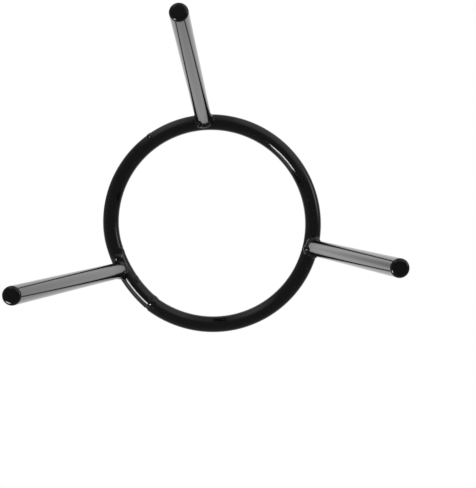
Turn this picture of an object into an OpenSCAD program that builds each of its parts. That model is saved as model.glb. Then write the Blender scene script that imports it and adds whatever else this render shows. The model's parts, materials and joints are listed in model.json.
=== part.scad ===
// Tripod stand for a burner: a ring of round bar on three leaning legs of the
// same bar, welded up by hand and painted. It stands on its feet, +Z up, with
// the origin on the bench under the middle of the ring. Millimetres.

/* [Bar] */
// Diameter of the round bar that the ring and the legs are cut from
bar_d = 6; // [5:0.1:7]
// Rounding of the edge where a leg ends in a foot
foot_round = 1.2; // [0.4:0.1:1.2]

/* [Ring] */
// Mean radius of the ring, to the middle of the bar
ring_r = 38.2; // [35:0.1:45]
// How far the bends of the slightly oval ring differ in radius
ring_oval = 0.9; // [0.1:0.1:1.5]
// Direction in which the bar's two ends meet
seam_at = 127.5; // [126:0.5:130]
// Width of the gap between the bar's two ends, which the seam's weld fills
seam_gap = 0.8; // [0.5:0.1:1.5]
// Radius of the tight bend between the oval and the bar's flatter end
tight_r = 31.6; // [30:0.1:34]
// Radius of the flatter end, from the tight bend to the seam
flat_r = 45.4; // [44:0.1:47]

/* [Legs] */
// Height of the stand, from the bench to the top of the ring
height = 144; // [110:1:180]
// Distance from the middle of the ring to where a leg's axis meets it
leg_r = 38.7; // [38.4:0.1:39]
// How far a leg's cut end is burnt into the ring
burn_in = 0.8; // [0.4:0.1:1.2]
// Direction of the front leg
front_at = 265.6; // [255:0.2:275]
// Direction of the right leg
right_at = 13.6; // [5:0.2:25]
// Direction of the left leg
left_at = 152.9; // [149:0.1:160]
// Lean of the front leg, from the upright
front_lean = 9.3; // [5:0.1:13]
// Lean of the right leg
right_lean = 8.6; // [5:0.1:13]
// Lean of the left leg
left_lean = 9.6; // [5:0.1:13]
// Turn of the front leg's lean, away from straight outwards
front_skew = -7.7; // [-15:0.1:15]
// Turn of the right leg's lean
right_skew = 2.7; // [-15:0.1:15]
// Turn of the left leg's lean
left_skew = 13.4; // [-15:0.1:15]

/* [Welds] */
// Bend radius of the long fillet, on the right of the front leg
long_fillet = 9; // [7:0.5:10]
// Bend radius of the fillets on the near side of the right and the left leg
mid_fillet = 7; // [6:0.5:9]
// Bend radius of the short fillets on the legs' other sides
short_fillet = 5; // [4.5:0.5:6]
// How much thinner a fillet is than the bar, in radius
fillet_inset = 0.45; // [0.3:0.05:0.6]
// How far the bead round a leg's end stands out from the leg
bead_bulge = 0.35; // [0.2:0.05:0.6]
// How much larger the seam's bead is than the bar, in radius
seam_bulge = 0.15; // [0.1:0.05:0.4]

/* [Hidden] */
$fn = 180;

bar_r = bar_d / 2;
bar_z = height - bar_r;
paint = "#141414";

function arc_length(sweep, r) = sweep * PI / 180 * r;
function arc_sweep(length, r) = length / r * 180 / PI;

// The bar's bends as [radius, sweep]. Both lists start on the left, at 180
// degrees: one runs round the oval to the seam, by round and easy bends, and
// the other runs the short way to it. The tight bend turns through the angle
// whose sine is 7/25 and cosine 24/25, so that the next bend meets it exactly.
gap_angle = arc_sweep(seam_gap / 2, ring_r);
round_r = ring_r - ring_oval / 2;
easy_r = ring_r + ring_oval / 2;
oval_bends = [
    [round_r, 90], [easy_r, 90], [round_r, 90],
    [easy_r, seam_at - 90 - gap_angle]
];
tight_sweep = atan(7 / 24);
end_length = arc_length(180 - seam_at - gap_angle, ring_r);
end_bends = [
    [tight_r, tight_sweep],
    [flat_r, arc_sweep(end_length - arc_length(tight_sweep, tight_r), flat_r)]
];
// How much too long a bend is drawn, before it is cut square
spare_angle = 5;
seam_bead_r = 0.75;
seam_sag = seam_bulge + 0.05;
seam_inset = seam_bulge + 0.1;

// One row a leg: its direction, its lean, its skew, how far outside the middle
// of the ring's bar it is set, and its fillets, anticlockwise and clockwise of it.
FRONT = [front_at, front_lean, front_skew, 0.5, long_fillet, short_fillet];
RIGHT = [right_at, right_lean, right_skew, 0.4, short_fillet, mid_fillet];
LEFT = [left_at, left_lean, left_skew, 1.2, short_fillet, mid_fillet];

// A square-cut foot stands on the low side of its rounded edge.
function foot_rise(lean) = foot_round * (1 - cos(lean)) + (bar_r - foot_round) * sin(lean);
function leg_end(lean) = (bar_z - foot_rise(lean)) / cos(lean);
leg_start = bar_r - burn_in;
leg_bead_r = 1.4;
fillet_lift = 0.25;

// Moves what follows from one end of a bend to the other. A bend starts at the
// origin, runs towards +Y and turns towards -X.
module past_bend(bend) {
    translate([-bend[0], 0, 0]) rotate(bend[1]) translate([bend[0], 0, 0]) children();
}

module past_bends(bends, i = 0) {
    if (i < len(bends)) past_bend(bends[i]) past_bends(bends, i + 1) children();
    else children();
}

// The bar along a list of bends. Each is cut square where the next starts.
module bent_bar(bends, i = 0) {
    if (i < len(bends)) {
        difference() {
            translate([-bends[i][0], 0, 0]) rotate_extrude(angle = bends[i][1] + spare_angle)
                translate([bends[i][0], 0]) circle(r = bar_r);
            past_bend(bends[i]) translate([-bar_d, 0, -bar_d]) cube(2 * bar_d);
        }
        past_bend(bends[i]) bent_bar(bends, i + 1);
    }
}

module at_ring_start() {
    translate([-ring_r, -ring_oval / 2, bar_z]) rotate(180) children();
}

module ring_bar() {
    at_ring_start() {
        bent_bar(oval_bends);
        mirror([0, 1, 0]) bent_bar(end_bends);
    }
}

// On a leg's axis, level with the middle of the ring's bar: -Z runs down the
// leg and +X outwards.
module at_leg(leg) {
    rotate(leg[0]) translate([leg_r, 0, bar_z]) rotate(leg[2]) rotate([0, -leg[1], 0]) children();
}

// The bar of a leg, square at the ring and with a rounded edge at the foot.
module leg_bar(leg) {
    length = leg_end(leg[1]) - leg_start;
    translate([0, 0, -leg_end(leg[1])]) rotate_extrude() {
        translate([0, foot_round]) square([bar_r, length - foot_round]);
        square([bar_r - foot_round, length]);
        translate([bar_r - foot_round, foot_round]) circle(r = foot_round);
    }
}

// The fillet in the corner between ring and leg: a quarter bend that leaves
// the ring's bar and runs into the leg's, turned in to follow the ring.
module fillet(bend_r, set_out) {
    turn_in = arc_sweep(bend_r / 2, ring_r) + atan(set_out / bend_r);
    rotate(turn_in) translate([0, bend_r, fillet_lift - bend_r]) rotate([0, 90, 0]) rotate(180)
        rotate_extrude(angle = 90) translate([bend_r, 0]) circle(r = bar_r - fillet_inset);
}

module ring() {
    color(paint) ring_bar();
}

// The bead that closes the ring: it fills the gap and laps over both ends. It
// has sagged to just under the top of the bar, where a vessel stands, and lies
// towards the inside, so that a shallow notch is left outside.
module ring_weld() {
    color(paint) difference() {
        at_ring_start() past_bends(oval_bends)
            translate([-seam_inset, seam_gap / 2, -seam_sag]) rotate([90, 0, 0]) rotate_extrude() {
                translate([0, -seam_bead_r])
                    square([bar_r + seam_bulge - seam_bead_r, 2 * seam_bead_r]);
                translate([bar_r + seam_bulge - seam_bead_r, 0]) circle(r = seam_bead_r);
            }
        ring_bar();
    }
}

module leg(leg) {
    color(paint) difference() {
        at_leg(leg) leg_bar(leg);
        ring_bar();
    }
}

// The weld of a leg: a bead round its cut end and a fillet on either side.
module leg_weld(leg) {
    color(paint) difference() {
        at_leg(leg) {
            translate([0, 0, -leg_start]) rotate_extrude()
                translate([bar_r + bead_bulge - leg_bead_r, 0]) circle(r = leg_bead_r);
            rotate(-leg[2]) fillet(leg[4], leg[3]);
            rotate(-leg[2]) mirror([0, 1, 0]) fillet(leg[5], leg[3]);
        }
        ring_bar();
        at_leg(leg) leg_bar(leg);
    }
}

ring();
ring_weld();
leg(FRONT);  // front_leg
leg(RIGHT);  // right_leg
leg(LEFT);  // left_leg
leg_weld(FRONT);  // front_weld
leg_weld(RIGHT);  // right_weld
leg_weld(LEFT);  // left_weld
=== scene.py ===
import json
import math

import bpy
import numpy as np
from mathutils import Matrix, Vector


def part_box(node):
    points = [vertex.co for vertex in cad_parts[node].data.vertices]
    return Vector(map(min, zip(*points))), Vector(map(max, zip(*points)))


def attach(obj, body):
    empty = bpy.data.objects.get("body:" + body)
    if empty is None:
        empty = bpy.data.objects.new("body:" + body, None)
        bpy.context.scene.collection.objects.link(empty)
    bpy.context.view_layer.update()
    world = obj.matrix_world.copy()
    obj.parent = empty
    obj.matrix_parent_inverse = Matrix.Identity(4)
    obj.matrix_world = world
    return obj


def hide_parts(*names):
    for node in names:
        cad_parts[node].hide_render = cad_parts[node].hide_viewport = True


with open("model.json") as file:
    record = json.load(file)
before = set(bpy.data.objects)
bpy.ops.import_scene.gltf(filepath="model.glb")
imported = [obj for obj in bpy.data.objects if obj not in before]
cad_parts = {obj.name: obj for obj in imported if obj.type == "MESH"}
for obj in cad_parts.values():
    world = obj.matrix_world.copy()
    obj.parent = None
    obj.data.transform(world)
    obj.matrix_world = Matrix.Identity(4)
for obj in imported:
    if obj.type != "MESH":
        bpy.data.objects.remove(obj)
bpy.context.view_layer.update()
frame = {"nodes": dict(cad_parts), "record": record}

import openvdb
from mathutils import Matrix, Vector


# --- Camera -------------------------------------------------------------------
# The stand is seen from under the bench, as one sees a stand that lies upside
# down on a table. The camera's axis is plumb, so it isn't tilted or shifted.
IMAGE_W, IMAGE_H = 476, 488
RING_MID_PIXEL = (211.5, 222.7)
PIXELS_PER_MM = 2.6457
CAMERA_DISTANCE = 0.652
SENSOR_MM = 36.0

ring_low, ring_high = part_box("ring")
bar_z = (ring_low.z + ring_high.z) / 2
aim_x, aim_y = [
    ((side - 1) / 2 - middle) / PIXELS_PER_MM / 1000
    for side, middle in zip((IMAGE_W, IMAGE_H), RING_MID_PIXEL)
]
camera_data = bpy.data.cameras.new("camera")
camera_data.sensor_width = SENSOR_MM
camera_data.lens = PIXELS_PER_MM * 1000 * CAMERA_DISTANCE * SENSOR_MM / IMAGE_H
camera = bpy.data.objects.new("camera", camera_data)
# Right in the view is +X, up in it is -Y, and the camera looks along +Z.
camera.matrix_world = Matrix((
    (1, 0, 0, aim_x),
    (0, -1, 0, aim_y),
    (0, 0, -1, bar_z - CAMERA_DISTANCE),
    (0, 0, 0, 1),
))
bpy.context.scene.collection.objects.link(camera)
bpy.context.scene.camera = camera


# --- Ring ---------------------------------------------------------------------
# One length of round steel bar, bent by hand to a ring and closed at its ends.
# The whole stand was painted gloss black after welding, in one thick coat that
# has dried with a faint orange peel and caught a little dust. Metres.
BLACK = (0.003, 0.0029, 0.003, 1)
DUST = (0.025, 0.023, 0.022, 1)
ROUGHNESS = 0.05
HAZE_ROUGHNESS = 0.03
DUST_ROUGHNESS = 0.2
HAZE_SIZE = 0.014
HAZE_EDGES = (0.35, 0.65)
DUST_SIZE = 0.0006
DUST_EDGES = (0.76, 0.84)
# Slow sags in the coat are SAG_DEPTH times as deep as its orange peel.
PEEL_SIZE = 0.0016
SAG_SIZE = 0.009
SAG_DEPTH = 3
BAR_PEEL = 2.0e-6


class Wire:
    """A socket in a node tree. Operators on it add Math nodes."""

    def __init__(self, tree, socket=None):
        self.tree = tree
        self.socket = socket

    def node(self, kind, output, settings, inputs):
        """Adds a node, sets it up, then fills its sockets with values or links."""
        made = self.tree.nodes.new(kind)
        for name, value in settings.items():
            setattr(made, name, value)
        for name, value in inputs.items():
            if isinstance(value, Wire):
                self.tree.links.new(value.socket, made.inputs[name])
            else:
                made.inputs[name].default_value = value
        return Wire(self.tree, made.outputs[output]) if made.outputs else None

    def math(self, operation, *values):
        return self.node("ShaderNodeMath", 0, {"operation": operation}, dict(enumerate(values)))

    def ramp(self, low, high, low_value=0.0, high_value=1.0):
        """Runs smoothly from low_value, at low, to high_value, at high."""
        return self.node("ShaderNodeMapRange", 0, {"interpolation_type": "SMOOTHSTEP"}, {
            "Value": self, "From Min": low, "From Max": high,
            "To Min": low_value, "To Max": high_value,
        })

    def __add__(self, other):
        return self.math("ADD", self, other)

    __radd__ = __add__

    def __sub__(self, other):
        return self.math("SUBTRACT", self, other)

    def __rsub__(self, other):
        return self.math("SUBTRACT", other, self)

    def __mul__(self, other):
        return self.math("MULTIPLY", self, other)

    __rmul__ = __mul__

    def __truediv__(self, other):
        return self.math("DIVIDE", self, other)

    def __rtruediv__(self, other):
        return self.math("DIVIDE", other, self)


def empty_tree(owner):
    owner.use_nodes = True
    owner.node_tree.nodes.clear()
    return Wire(owner.node_tree)


def gloss_paint(name, peel_height):
    """Black gloss paint. peel_height is the depth of its orange peel."""
    material = bpy.data.materials.new(name)
    paint = empty_tree(material)
    place = paint.node("ShaderNodeTexCoord", "Object", {}, {})

    def noise(size, detail=2.0):
        return paint.node("ShaderNodeTexNoise", 0, {}, {
            "Vector": place, "Scale": 1 / size, "Detail": detail, "Roughness": 0.5,
        })

    haze = noise(HAZE_SIZE).ramp(*HAZE_EDGES)
    dust = noise(DUST_SIZE, detail=0.0).ramp(*DUST_EDGES)
    colour = paint.node("ShaderNodeMix", 2, {"data_type": "RGBA"}, {0: dust, 6: BLACK, 7: DUST})
    peel = noise(PEEL_SIZE)
    sag = noise(SAG_SIZE)
    bump = paint.node("ShaderNodeBump", 0, {}, {
        "Height": peel + SAG_DEPTH * sag, "Distance": peel_height, "Strength": 1.0,
    })
    shader = paint.node("ShaderNodeBsdfPrincipled", 0, {}, {
        "Base Color": colour,
        "Roughness": ROUGHNESS + HAZE_ROUGHNESS * haze + DUST_ROUGHNESS * dust,
        "IOR": 1.5,
        "Normal": bump,
    })
    paint.node("ShaderNodeOutputMaterial", 0, {}, {"Surface": shader})
    return material


def coat(node_name, material):
    mesh = frame["nodes"][node_name].data
    mesh.materials.clear()
    mesh.materials.append(material)


bar_paint = gloss_paint("bar_paint", BAR_PEEL)
coat("ring", bar_paint)


# --- Legs ---------------------------------------------------------------------
# Three straight lengths of the same bar, sawn square, with the edge of the
# foot dressed round. They took the same coat of paint as the ring.
LEGS = ("front", "right", "left")

for side in LEGS:
    coat(side + "_leg", bar_paint)


# --- Leg welds ----------------------------------------------------------------
# Each leg's end is burnt into the ring and closed by hand with a round bead of
# filler metal, which also fills the corners along the ring. Drops of spatter lie
# beside it, and the paint has rounded all of that off. Millimetres.
BAR_R = (ring_high.z - ring_low.z) / 2 * 1000
BAR_Z = bar_z * 1000
BURN_IN = 0.8
BEAD_R = 1.5
BEAD_FILLET = 0.3
# Each weld on its four sides: anticlockwise, clockwise, outside and inside. The
# bead is [how far it stands out, how far down the leg it ends], and the fillet
# under it is [reach along the ring, reach down the leg].
WELD_BEADS = {
    "front": ([0.4, 6.5], [1.0, 5.5], [0.15, 4.0], [0.9, 6.6]),
    "right": ([1.1, 6.0], [1.1, 5.5], [0.15, 4.0], [0.6, 7.8]),
    "left": ([0.4, 5.0], [0.4, 5.5], [0.15, 4.0], [0.6, 3.9]),
}
WELD_FILLETS = {
    "front": ([1.4, 6.0], [1.5, 3.5], [0.6, 1.5], [0.4, 0.8]),
    "right": ([1.5, 3.5], [2.0, 6.0], [0.6, 1.5], [0.4, 0.8]),
    "left": ([1.2, 3.0], [1.8, 9.0], [0.6, 1.5], [0.4, 0.8]),
}
# The fillets have their full reach from FILLET_DROP below the middle of the ring's
# bar, and lose it over FILLET_SIDES out from that middle. LEAST is what is left
# there, and what every value of the two tables runs to in the middle of the leg.
FILLET_DROP = 2.2
FILLET_SIDES = (1.6, 4.0)
LEAST = 0.3
# Filler metal is where a fillet is this deep, or where a bead is this near.
FILLED = (0.01, 0.1)
BEAD_NEAR = (0.1, 0.6)
# Lumps are a sum of LUMP_WAVES waves, of which LUMP_SUM makes one LUMP_HEIGHT. A
# wave is as long as LUMP_SIZE times a number in LUMP_SPREAD.
LUMP_HEIGHT = 0.08
LUMP_SIZE = 2.2
LUMP_SPREAD = (0.7, 1.5)
LUMP_WAVES = 9
LUMP_SUM = 4
WELD_SEED = 11
# Drops of spatter: [direction round the ring, angle round the bar, radius, height].
SPATTER_FILLET = 0.35
SPATTER = {
    "front": [(262.9, -11.0, 1.2, 5.1), (261.6, 8, 0.6, 0.5)],
    "right": [
        (16.8, -9, 1.5, 4.1), (15.2, -13, 1.5, 4.8),
        (9.2, 8, 0.6, 0.5), (9.3, 36, 0.55, 0.45),
    ],
    "left": [(159.8, 0, 2.0, 0.4)],
}
# A skin is meshed in steps of VOXEL, then each point settles on the true surface.
# Where there is no filler metal it lies SKIN_DEPTH inside the bars, out of sight.
VOXEL = 0.14
SKIN_DEPTH = 0.05
SETTLING_PASSES = 3
SLOPE_STEP = 0.02
LEAST_STEEP = 0.05
# The skin of a leg weld sinks into the bars past WELD_REACH from a point that is
# WELD_MID down the leg. Under the ring's upper side it lies TOP_DEPTH deep, and it
# comes up from there over TOP_EDGES, which are depths below the bar's middle.
WELD_MID = 5
WELD_REACH = 8.6
SINKING = 0.4
TOP_DEPTH = 1.2
TOP_EDGES = (-2.5, 0.5)
WELD_BOX = ((-8.0, -11.5, -16.5), (10.5, 11.5, 3.2))
# A bar has no sides within AXIS_R of its middle line. A bend of the ring is looked
# for near a circle of SEARCH_R.
AXIS_R = 0.3
SEARCH_R = 38.0
# The paint lies thicker on the welds, so its orange peel is deeper. Metres.
WELD_PEEL = 4.0e-6


def run_together(a, b, reach):
    """Joins two distance fields, with a fillet that starts reach away from the corner."""
    near = np.maximum(reach - np.abs(a - b), 0)
    return np.minimum(a, b) - near * near / (4 * reach)


def ease(x, low, high):
    """Runs smoothly from 0, at low, to 1, at high."""
    x = np.clip((x - low) / (high - low), 0, 1)
    return x * x * (3 - 2 * x)


def ring_bend(at, within):
    """Centre and radius of the bend that the ring's bar has round a point."""
    corners = np.array([v.co for v in frame["nodes"]["ring"].data.vertices]) * 1000
    x, y, z = corners[np.hypot(*(corners[:, :2] - at[:2]).T) < within].T
    half_width = np.sqrt(np.maximum(BAR_R**2 - (z - BAR_Z) ** 2, 0))
    out = np.where(np.hypot(x, y) > np.hypot(at[0], at[1]), half_width, -half_width)
    rows = np.stack((x, y, out, np.ones_like(x)), axis=1)
    fit = np.linalg.lstsq(rows, x * x + y * y - out * out, rcond=None)[0]
    return fit[:2] / 2, fit[2] / 2


def ring_ways(at, middle):
    """The ways out of a bend and along it, at a point of the ring."""
    outward = np.array([*(at[:2] - middle), 0])
    outward /= np.linalg.norm(outward)
    return outward, np.array([-outward[1], outward[0], 0])


def bar_section(points, middle, bend_r):
    """How far points lie outside the bar's middle line, and how far above it."""
    across = np.hypot(points[..., 0] - middle[0], points[..., 1] - middle[1]) - bend_r
    return across, points[..., 2] - BAR_Z


def on_ring(at, tilt, lift):
    """The point of the ring at a direction, an angle round the bar from below, and a lift."""
    along = np.array([math.cos(math.radians(at)), math.sin(math.radians(at))])
    middle, bend_r = ring_bend(SEARCH_R * along, within=8)
    reach = along @ middle
    mid_r = reach + math.sqrt(reach**2 - middle @ middle + bend_r**2)
    out = (BAR_R + lift) * math.sin(math.radians(tilt))
    down = (BAR_R + lift) * math.cos(math.radians(tilt))
    return np.array([*(along * (mid_r + out)), BAR_Z - down])


def lumps(points, seed):
    """Soft lumps of filler metal, between about -1 and 1."""
    draw = np.random.default_rng(seed)
    total = 0
    for _ in range(LUMP_WAVES):
        way = draw.normal(size=3)
        way /= np.linalg.norm(way)
        pitch = LUMP_SIZE * draw.uniform(*LUMP_SPREAD)
        total = total + np.sin(points @ way * (2 * math.pi / pitch) + draw.uniform(0, 2 * math.pi))
    return total / LUMP_SUM


def spatter(field, points, drops):
    """Adds drops of spatter to a distance field."""
    for at, tilt, radius, height in drops:
        middle = on_ring(at, tilt, height - radius)
        drop = np.linalg.norm(points - middle, axis=-1) - radius
        field = run_together(field, drop, min(SPATTER_FILLET, height))
    return field


def skin(name, field, origin, axes, low, high):
    """Makes a mesh piece of the surface where field(points) is zero, from corner low to high."""
    steps = [np.arange(a, b + VOXEL, VOXEL) for a, b in zip(low, high)]
    spread = np.stack(np.meshgrid(*steps, indexing="ij"), axis=-1)
    values = field(origin + spread @ axes)
    grid = openvdb.FloatGrid(float(values.max()))
    grid.copyFromArray(np.ascontiguousarray(values, dtype=np.float32))
    corners, quads = grid.convertToQuads()
    points = origin + (np.array(low) + corners.astype(float) * VOXEL) @ axes
    for _ in range(SETTLING_PASSES):
        slope = np.stack([
            (field(points + SLOPE_STEP * axis) - field(points - SLOPE_STEP * axis)) / (2 * SLOPE_STEP)
            for axis in np.eye(3)
        ], axis=-1)
        steep = np.maximum((slope * slope).sum(axis=-1, keepdims=True), LEAST_STEEP)
        points = points - np.clip(field(points)[:, None] * slope / steep, -VOXEL, VOXEL)
    mesh = bpy.data.meshes.new(name)
    mesh.from_pydata((points / 1000).tolist(), [], quads.tolist())
    mesh.shade_smooth()
    mesh.materials.append(weld_paint)
    piece = bpy.data.objects.new(name, mesh)
    bpy.context.scene.collection.objects.link(piece)
    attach(piece, "root")
    return piece


def leg_weld(side, seed):
    foot = np.array(mounts[side + "_foot"]["pos_m"]) * 1000
    down = np.array(mounts[side + "_foot"]["axis"])
    top = foot + down * (BAR_Z - foot[2]) / down[2]
    middle, bend_r = ring_bend(top, within=10)
    outward, around = ring_ways(top, middle)
    weld_mid = top + WELD_MID * down

    def field(points):
        across, height = bar_section(points, middle, bend_r)
        ring = np.hypot(across, height) - BAR_R
        offset = points - top
        along = offset @ down
        offset = offset - along[..., None] * down
        from_axis = np.linalg.norm(offset, axis=-1)
        leg = np.maximum(from_axis - BAR_R, BAR_R - BURN_IN - along)

        # How much a point is on each side of the leg, in the order of the tables.
        u = offset @ around / np.maximum(from_axis, AXIS_R)
        v = offset @ outward / np.maximum(from_axis, AXIS_R)
        sides = [
            np.where(u > 0, u * u, 0), np.where(u < 0, u * u, 0),
            np.where(v > 0, v * v, 0), np.where(v < 0, v * v, 0),
        ]

        def by_side(table, column):
            return LEAST + sum(part * (row[column] - LEAST) for part, row in zip(sides, table[side]))

        below = ease(-height, 0.0, FILLET_DROP)
        under = below * (1 - ease(np.abs(across), *FILLET_SIDES))
        reach = LEAST + (by_side(WELD_FILLETS, 0) - LEAST) * under
        rise = by_side(WELD_FILLETS, 1)
        weld = run_together(leg, ring * reach / rise, reach)
        filled = np.minimum(leg, ring * reach / rise) - weld

        # The bead is round in section, and on each side it has its own place on the leg.
        proud = by_side(WELD_BEADS, 0)
        bead_end = by_side(WELD_BEADS, 1)
        bead_mid = bead_end - np.sqrt(BEAD_R**2 - (BEAD_R - proud) ** 2)
        bead = np.hypot(from_axis - (BAR_R + proud - BEAD_R), along - bead_mid) - BEAD_R
        weld = run_together(weld, bead, BEAD_FILLET)

        # Only the filler metal has lumps, and only it stands above the bars' surfaces.
        filler = np.maximum(ease(filled, *FILLED), 1 - ease(bead, *BEAD_NEAR)) * below
        weld = weld + SKIN_DEPTH - filler * (SKIN_DEPTH + LUMP_HEIGHT * lumps(points, seed))
        weld = spatter(weld, points, SPATTER[side])
        past = np.maximum(np.linalg.norm(points - weld_mid, axis=-1) - WELD_REACH, 0)
        return weld + SINKING * past * past + TOP_DEPTH * (1 - ease(-height, *TOP_EDGES))

    axes = np.array([outward, around, (0, 0, 1.0)])
    piece = skin(side + "_weld_metal", field, top, axes, *WELD_BOX)
    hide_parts(side + "_weld")


weld_paint = gloss_paint("weld_paint", WELD_PEEL)
mounts = {mount["name"]: mount for mount in frame["record"]["mounts"]}
for seed, side in enumerate(LEGS, start=WELD_SEED):
    leg_weld(side, seed)


# --- Ring seam ----------------------------------------------------------------
# The bead that closes the ring. It fills the gap between the bar's two ends,
# stands a little proud below and inside the ring, and leaves a notch outside.
# Millimetres.
# The bead is SEAM_SUNK under the bar's surface, and stands out by the next two
# inside and below. It falls away to its ends by SEAM_NARROWING.
SEAM_SUNK = 0.03
SEAM_INSIDE = 0.27
SEAM_BELOW = 0.19
SEAM_NARROWING = 0.13
SEAM_HALF_WIDTH = 1.8
# Its lumps come in over these, where -1 is the bar's upper side and 1 its underside.
SEAM_LUMP_SIDES = (-0.4, 0.2)
SEAM_BOX = ((-4.2, -2.2, -4.2), (4.2, 2.2, 3.6))
SEAM_SEED = 14
SEAM_SPATTER = [(126.7, -40, 2.6, 0.42), (126.6, 22, 0.5, 0.35), (125.9, 32, 0.45, 0.3)]


def ring_seam(seed):
    low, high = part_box("ring_weld")
    at = np.array((low + high) / 2) * 1000
    middle, bend_r = ring_bend(at, within=5)
    outward, around = ring_ways(at, middle)
    at = np.array([*(middle + bend_r * outward[:2]), BAR_Z])

    def field(points):
        across, height = bar_section(points, middle, bend_r)
        from_axis = np.hypot(across, height)
        inside = -across / np.maximum(from_axis, AXIS_R)
        under = -height / np.maximum(from_axis, AXIS_R)
        proud = -SEAM_SUNK + SEAM_INSIDE * inside + SEAM_BELOW * np.maximum(under, 0)
        run = (points - at) @ around
        bead = from_axis - (BAR_R + proud - SEAM_NARROWING * run * run)
        bead = bead - LUMP_HEIGHT * lumps(points, seed) * ease(under, *SEAM_LUMP_SIDES)
        return np.maximum(spatter(bead, points, SEAM_SPATTER), np.abs(run) - SEAM_HALF_WIDTH)

    axes = np.array([outward, around, (0, 0, 1.0)])
    piece = skin("ring_weld_metal", field, at, axes, *SEAM_BOX)
    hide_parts("ring_weld")


ring_seam(SEAM_SEED)


# --- Ring spatter -------------------------------------------------------------
# A single flat drop of weld metal that flew on to the ring, away from the welds.
# It is stuck to the bar and painted over. Millimetres.
LONE_DROP = (234.7, 36, 0.7, 0.55)
LONE_DROP_REACH = 1.8
LONE_DROP_BOX = ((-2.2, -2.2, -2.2), (2.2, 2.2, 2.2))


def lone_drop():
    at = on_ring(LONE_DROP[0], LONE_DROP[1], 0)
    middle, bend_r = ring_bend(at, within=5)

    def field(points):
        bar = np.hypot(*bar_section(points, middle, bend_r)) - BAR_R + SKIN_DEPTH
        drop = spatter(bar, points, [LONE_DROP])
        return np.maximum(drop, np.linalg.norm(points - at, axis=-1) - LONE_DROP_REACH)

    skin("ring_spatter", field, at, np.eye(3), *LONE_DROP_BOX)


lone_drop()


# --- Studio -------------------------------------------------------------------
# A pale bench in a white room, under a soft lamp. The bench is clear to lamps and
# to reflections, so what stands low round it draws lines on the gloss. Metres.
FLOOR_HALF = 3.0
BENCH_GREY = (0.82, 0.82, 0.82, 1)
# To the eye the bench is BENCH_MIDDLE white under the stand, and runs to all white
# over BENCH_EDGES, which are distances from the stand's upright axis.
BENCH_MIDDLE = 0.45
BENCH_EDGES = (0.1, 1.2)


def stage_piece(name, corners, faces, material):
    mesh = bpy.data.meshes.new(name)
    mesh.from_pydata(corners, [], faces)
    mesh.materials.append(material)
    piece = bpy.data.objects.new(name, mesh)
    bpy.context.scene.collection.objects.link(piece)
    return piece


def light_path(owner, ray):
    return owner.node("ShaderNodeLightPath", f"Is {ray} Ray", {}, {})


def from_origin(owner):
    """Distance from the stand's upright axis."""
    place = owner.node("ShaderNodeTexCoord", "Object", {}, {})
    flat = owner.node("ShaderNodeVectorMath", 0, {"operation": "MULTIPLY"}, {0: place, 1: (1, 1, 0)})
    return owner.node("ShaderNodeVectorMath", "Value", {"operation": "LENGTH"}, {0: flat})


def pale_bench():
    """Grey under the stand and white further out. From below nothing of it is seen."""
    material = bpy.data.materials.new("pale_bench")
    top = empty_tree(material)
    from_below = top.node("ShaderNodeNewGeometry", "Backfacing", {}, {})
    clearness = top.math("MAXIMUM", light_path(top, "Shadow"), light_path(top, "Glossy"))
    clearness = top.math("MAXIMUM", clearness, from_below)
    whiteness = light_path(top, "Camera") * from_origin(top).ramp(*BENCH_EDGES, BENCH_MIDDLE, 1.0)
    matt = top.node("ShaderNodeBsdfDiffuse", 0, {}, {"Color": BENCH_GREY})
    white = top.node("ShaderNodeEmission", 0, {}, {"Color": (1, 1, 1, 1), "Strength": 1.0})
    clear = top.node("ShaderNodeBsdfTransparent", 0, {}, {})
    seen = top.node("ShaderNodeMixShader", 0, {}, {0: whiteness, 1: matt, 2: white})
    shown = top.node("ShaderNodeMixShader", 0, {}, {0: clearness, 1: seen, 2: clear})
    top.node("ShaderNodeOutputMaterial", 0, {}, {"Surface": shown})
    return material


stage_piece("floor", [
    (-FLOOR_HALF, -FLOOR_HALF, 0), (FLOOR_HALF, -FLOOR_HALF, 0),
    (FLOOR_HALF, FLOOR_HALF, 0), (-FLOOR_HALF, FLOOR_HALF, 0),
], [(0, 1, 2, 3)], pale_bench())

# Two flat hoops lie just over the ring, inside and outside its bar, from HOOP_NEAR
# to HOOP_FAR bar radii off its middle line. Only reflections see them.
HOOP_NEAR = 1.02
HOOP_FAR = 3.0
HOOP_FADE = (0.006, 0.009)
HOOP_LIFT = 0.0002
HOOP_SIDES = 96

bar_r = BAR_R / 1000
ring_r = (ring_high.x - ring_low.x) / 4 + (ring_high.y - ring_low.y) / 4 - bar_r


def contact_shade():
    """Darkens reflections close beside the ring's bar, as a surface that it lies on would."""
    material = bpy.data.materials.new("contact_shade")
    air = empty_tree(material)
    gap = air.math("ABSOLUTE", from_origin(air) - ring_r)
    shade = bar_r**2 * (gap.ramp(*HOOP_FADE, 1.0, 0.0) / (gap * gap + bar_r**2))
    black = air.node("ShaderNodeEmission", 0, {}, {"Color": (0, 0, 0, 1), "Strength": 0.0})
    clear = air.node("ShaderNodeBsdfTransparent", 0, {}, {})
    shown = air.node("ShaderNodeMixShader", 0, {}, {0: shade, 1: clear, 2: black})
    air.node("ShaderNodeOutputMaterial", 0, {}, {"Surface": shown})
    return material


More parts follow.
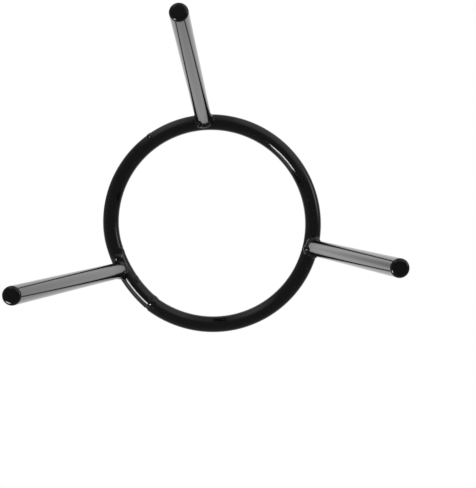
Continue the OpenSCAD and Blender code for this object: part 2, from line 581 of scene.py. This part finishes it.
hoop_edges = [ring_r + side * bar_r * k for side in (-1, 1) for k in (HOOP_NEAR, HOOP_FAR)]
hoop_corners = [
    (
        edge * math.cos(2 * math.pi * i / HOOP_SIDES),
        edge * math.sin(2 * math.pi * i / HOOP_SIDES),
        ring_high.z + HOOP_LIFT,
    )
    for edge in hoop_edges for i in range(HOOP_SIDES)
]
hoop_faces = [
    (inner + i, inner + (i + 1) % HOOP_SIDES, outer + (i + 1) % HOOP_SIDES, outer + i)
    for inner, outer in ((0, HOOP_SIDES), (2 * HOOP_SIDES, 3 * HOOP_SIDES))
    for i in range(HOOP_SIDES)
]
hoop = stage_piece("contact_shade", hoop_corners, hoop_faces, contact_shade())
for ray in ("camera", "diffuse", "transmission", "volume_scatter", "shadow"):
    setattr(hoop, "visible_" + ray, False)

# The light of the room, where 1 is white. ROOM_LIGHT falls on the stand, and the
# rest is what its gloss reflects. Angles are in degrees.
ROOM_LIGHT = 0.75
CEILING_LIGHT = 0.86
CEILING_HEIGHTS = (0.4, 0.8)
# A darker beam runs over the ceiling, across from the right leg.
BEAM_AZIMUTH = 196
BEAM_DIP = 0.65
BEAM_WIDTHS = (0.09, 0.155)
BEAM_START = (0.305, 0.44)
# The walls, and a wide panel of light on one of them. The panel is dimmer in a
# strip behind the front leg, and higher up.
WALL_LIGHT = 0.10
WALL_HEIGHTS = (-0.9, 0.0)
PANEL_LIGHT = 0.55
PANEL_AZIMUTH = 281
PANEL_SPREADS = (57, 37)
PANEL_HEIGHTS = (-1.0, -0.6)
STRIP_AZIMUTH = 268
STRIP_DIP = 0.6
STRIP_SPREADS = (20, 4)
HIGH_DIP = 0.4
HIGH_HEIGHTS = (-0.15, 0.3)
# Two low patches of light: azimuth, elevation, how far they spread, and light.
LOW_PATCHES = ((142, -5, 14, 1.2), (342, -12, 18, 1.6))
PATCH_CORE = 4

world = bpy.data.worlds.new("studio")
bpy.context.scene.world = world
sky = empty_tree(world)
way = sky.node("ShaderNodeTexCoord", "Generated", {}, {})
up = sky.node("ShaderNodeSeparateXYZ", "Z", {}, {0: way})
level = sky.math("SQRT", 1 - up * up)


def toward(azimuth, elevation):
    """The way to a point at an azimuth and elevation."""
    a, e = math.radians(azimuth), math.radians(elevation)
    return Vector((math.cos(e) * math.cos(a), math.cos(e) * math.sin(a), math.sin(e)))


def facing(azimuth, elevation):
    """Cosine of the angle between where a ray goes and a direction."""
    return sky.node("ShaderNodeVectorMath", "Value", {"operation": "DOT_PRODUCT"}, {
        0: way, 1: toward(azimuth, elevation),
    })


def bearing(azimuth):
    """Cosine of the angle between a ray and an azimuth, seen from above."""
    return facing(azimuth, 0) / level


def cosines(angles):
    return [math.cos(math.radians(angle)) for angle in angles]


beam = sky.math("ABSOLUTE", facing(BEAM_AZIMUTH - 90, 0)).ramp(*BEAM_WIDTHS, 1.0, 0.0)
beam = beam * facing(BEAM_AZIMUTH, 0).ramp(*BEAM_START)
ceiling = up.ramp(*CEILING_HEIGHTS) * (CEILING_LIGHT - BEAM_DIP * beam)
panel = bearing(PANEL_AZIMUTH).ramp(*cosines(PANEL_SPREADS)) * up.ramp(*PANEL_HEIGHTS)
panel = panel * (1 - STRIP_DIP * bearing(STRIP_AZIMUTH).ramp(*cosines(STRIP_SPREADS)))
room = WALL_LIGHT + WALL_LIGHT * up.ramp(*WALL_HEIGHTS)
room = room + PANEL_LIGHT * panel * (1 - HIGH_DIP * up.ramp(*HIGH_HEIGHTS))
for azimuth, elevation, spread, light in LOW_PATCHES:
    room = room + light * facing(azimuth, elevation).ramp(*cosines((spread, PATCH_CORE)))
reflected = sky.math("MAXIMUM", room, ceiling)
seen = light_path(sky, "Camera")
glossy = light_path(sky, "Glossy")
strength = seen + (1 - seen) * (glossy * reflected + (1 - glossy) * ROOM_LIGHT)
background = sky.node("ShaderNodeBackground", 0, {}, {"Color": (1, 1, 1, 1), "Strength": strength})
sky.node("ShaderNodeOutputWorld", 0, {}, {"Surface": background})


def lamp(name, azimuth, elevation, distance, wide, tall, radiance):
    """A flat lamp that faces the middle of the ring."""
    away = toward(azimuth, elevation)
    data = bpy.data.lights.new(name, "AREA")
    data.shape = "RECTANGLE"
    data.size = wide
    data.size_y = tall
    data.energy = radiance * math.pi * wide * tall
    made = bpy.data.objects.new(name, data)
    made.location = Vector((0, 0, bar_z)) + away * distance
    made.rotation_euler = away.to_track_quat("Z", "Y").to_euler()
    made.visible_camera = False
    bpy.context.scene.collection.objects.link(made)
    return made


# The low lamp is below the bench and draws the bright lines. The key lamp is soft,
# and reflections don't show it.
lamp("low_lamp", 138.5, -42.4, distance=0.44, wide=0.109, tall=0.143, radiance=15.5)
key_lamp = lamp("key_lamp", 300, 65, distance=1.6, wide=0.8, tall=0.8, radiance=2.0)
key_lamp.visible_glossy = False

bpy.context.scene.view_settings.view_transform = "Standard"
